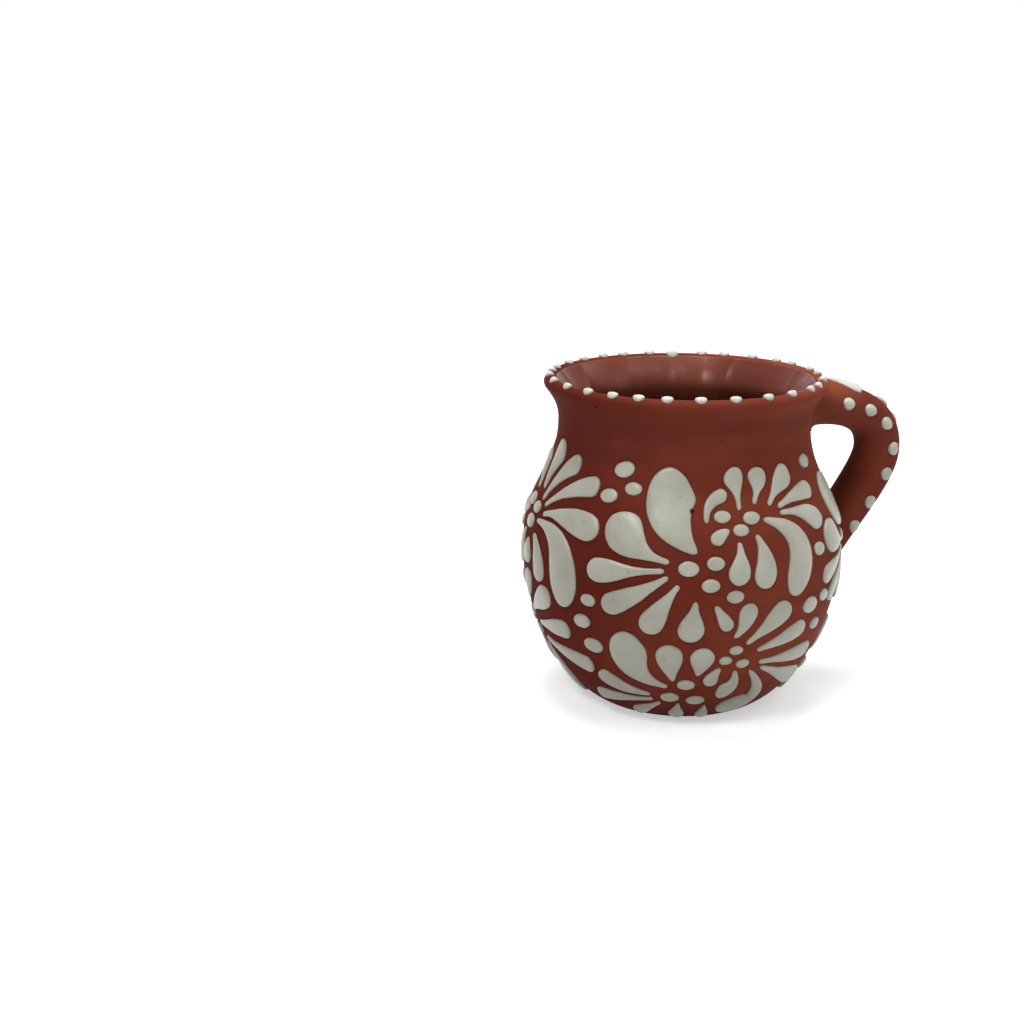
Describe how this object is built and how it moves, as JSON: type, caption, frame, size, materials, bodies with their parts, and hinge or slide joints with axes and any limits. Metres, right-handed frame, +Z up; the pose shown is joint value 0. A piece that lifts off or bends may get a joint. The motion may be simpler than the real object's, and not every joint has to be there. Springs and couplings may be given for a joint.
{
  "type": "clay mug",
  "caption": "Round-bellied red clay mug with a flared lip, a pulled loop handle, a glazed inside and flowers and dots of raised white slip.",
  "frame": {"origin": "centre of the flat foot, on the surface that the mug stands on", "axes": "+X from the pot's axis towards the handle, +Z up along the pot's axis"},
  "size_m": [0.111, 0.089, 0.0908],
  "materials": {
    "clay": "unglazed fired red clay, burnished to a dull sheen, darker low on the belly",
    "glaze": "thin clear glossy glaze over red-brown clay",
    "slip": "raised off-white slip, smooth with a slight sheen"
  },
  "bodies": {
    "root": {"body": "clay", "glaze_lining": "glaze", "handle": "clay", "front_upper_left_flower": "slip", "front_upper_right_flower": "slip", "front_lower_left_flower": "slip", "front_lower_right_flower": "slip", "left_upper_left_flower": "slip", "left_upper_right_flower": "slip", "left_lower_left_flower": "slip", "left_lower_right_flower": "slip", "back_upper_left_flower": "slip", "back_upper_right_flower": "slip", "back_lower_left_flower": "slip", "back_lower_right_flower": "slip", "right_upper_left_flower": "slip", "right_lower_left_flower": "slip", "scatter_dots": "slip", "rim_dots": "slip", "handle_spine_dots": "slip", "handle_near_dots": "slip", "handle_far_dots": "slip"}
  },
  "joints": []
}
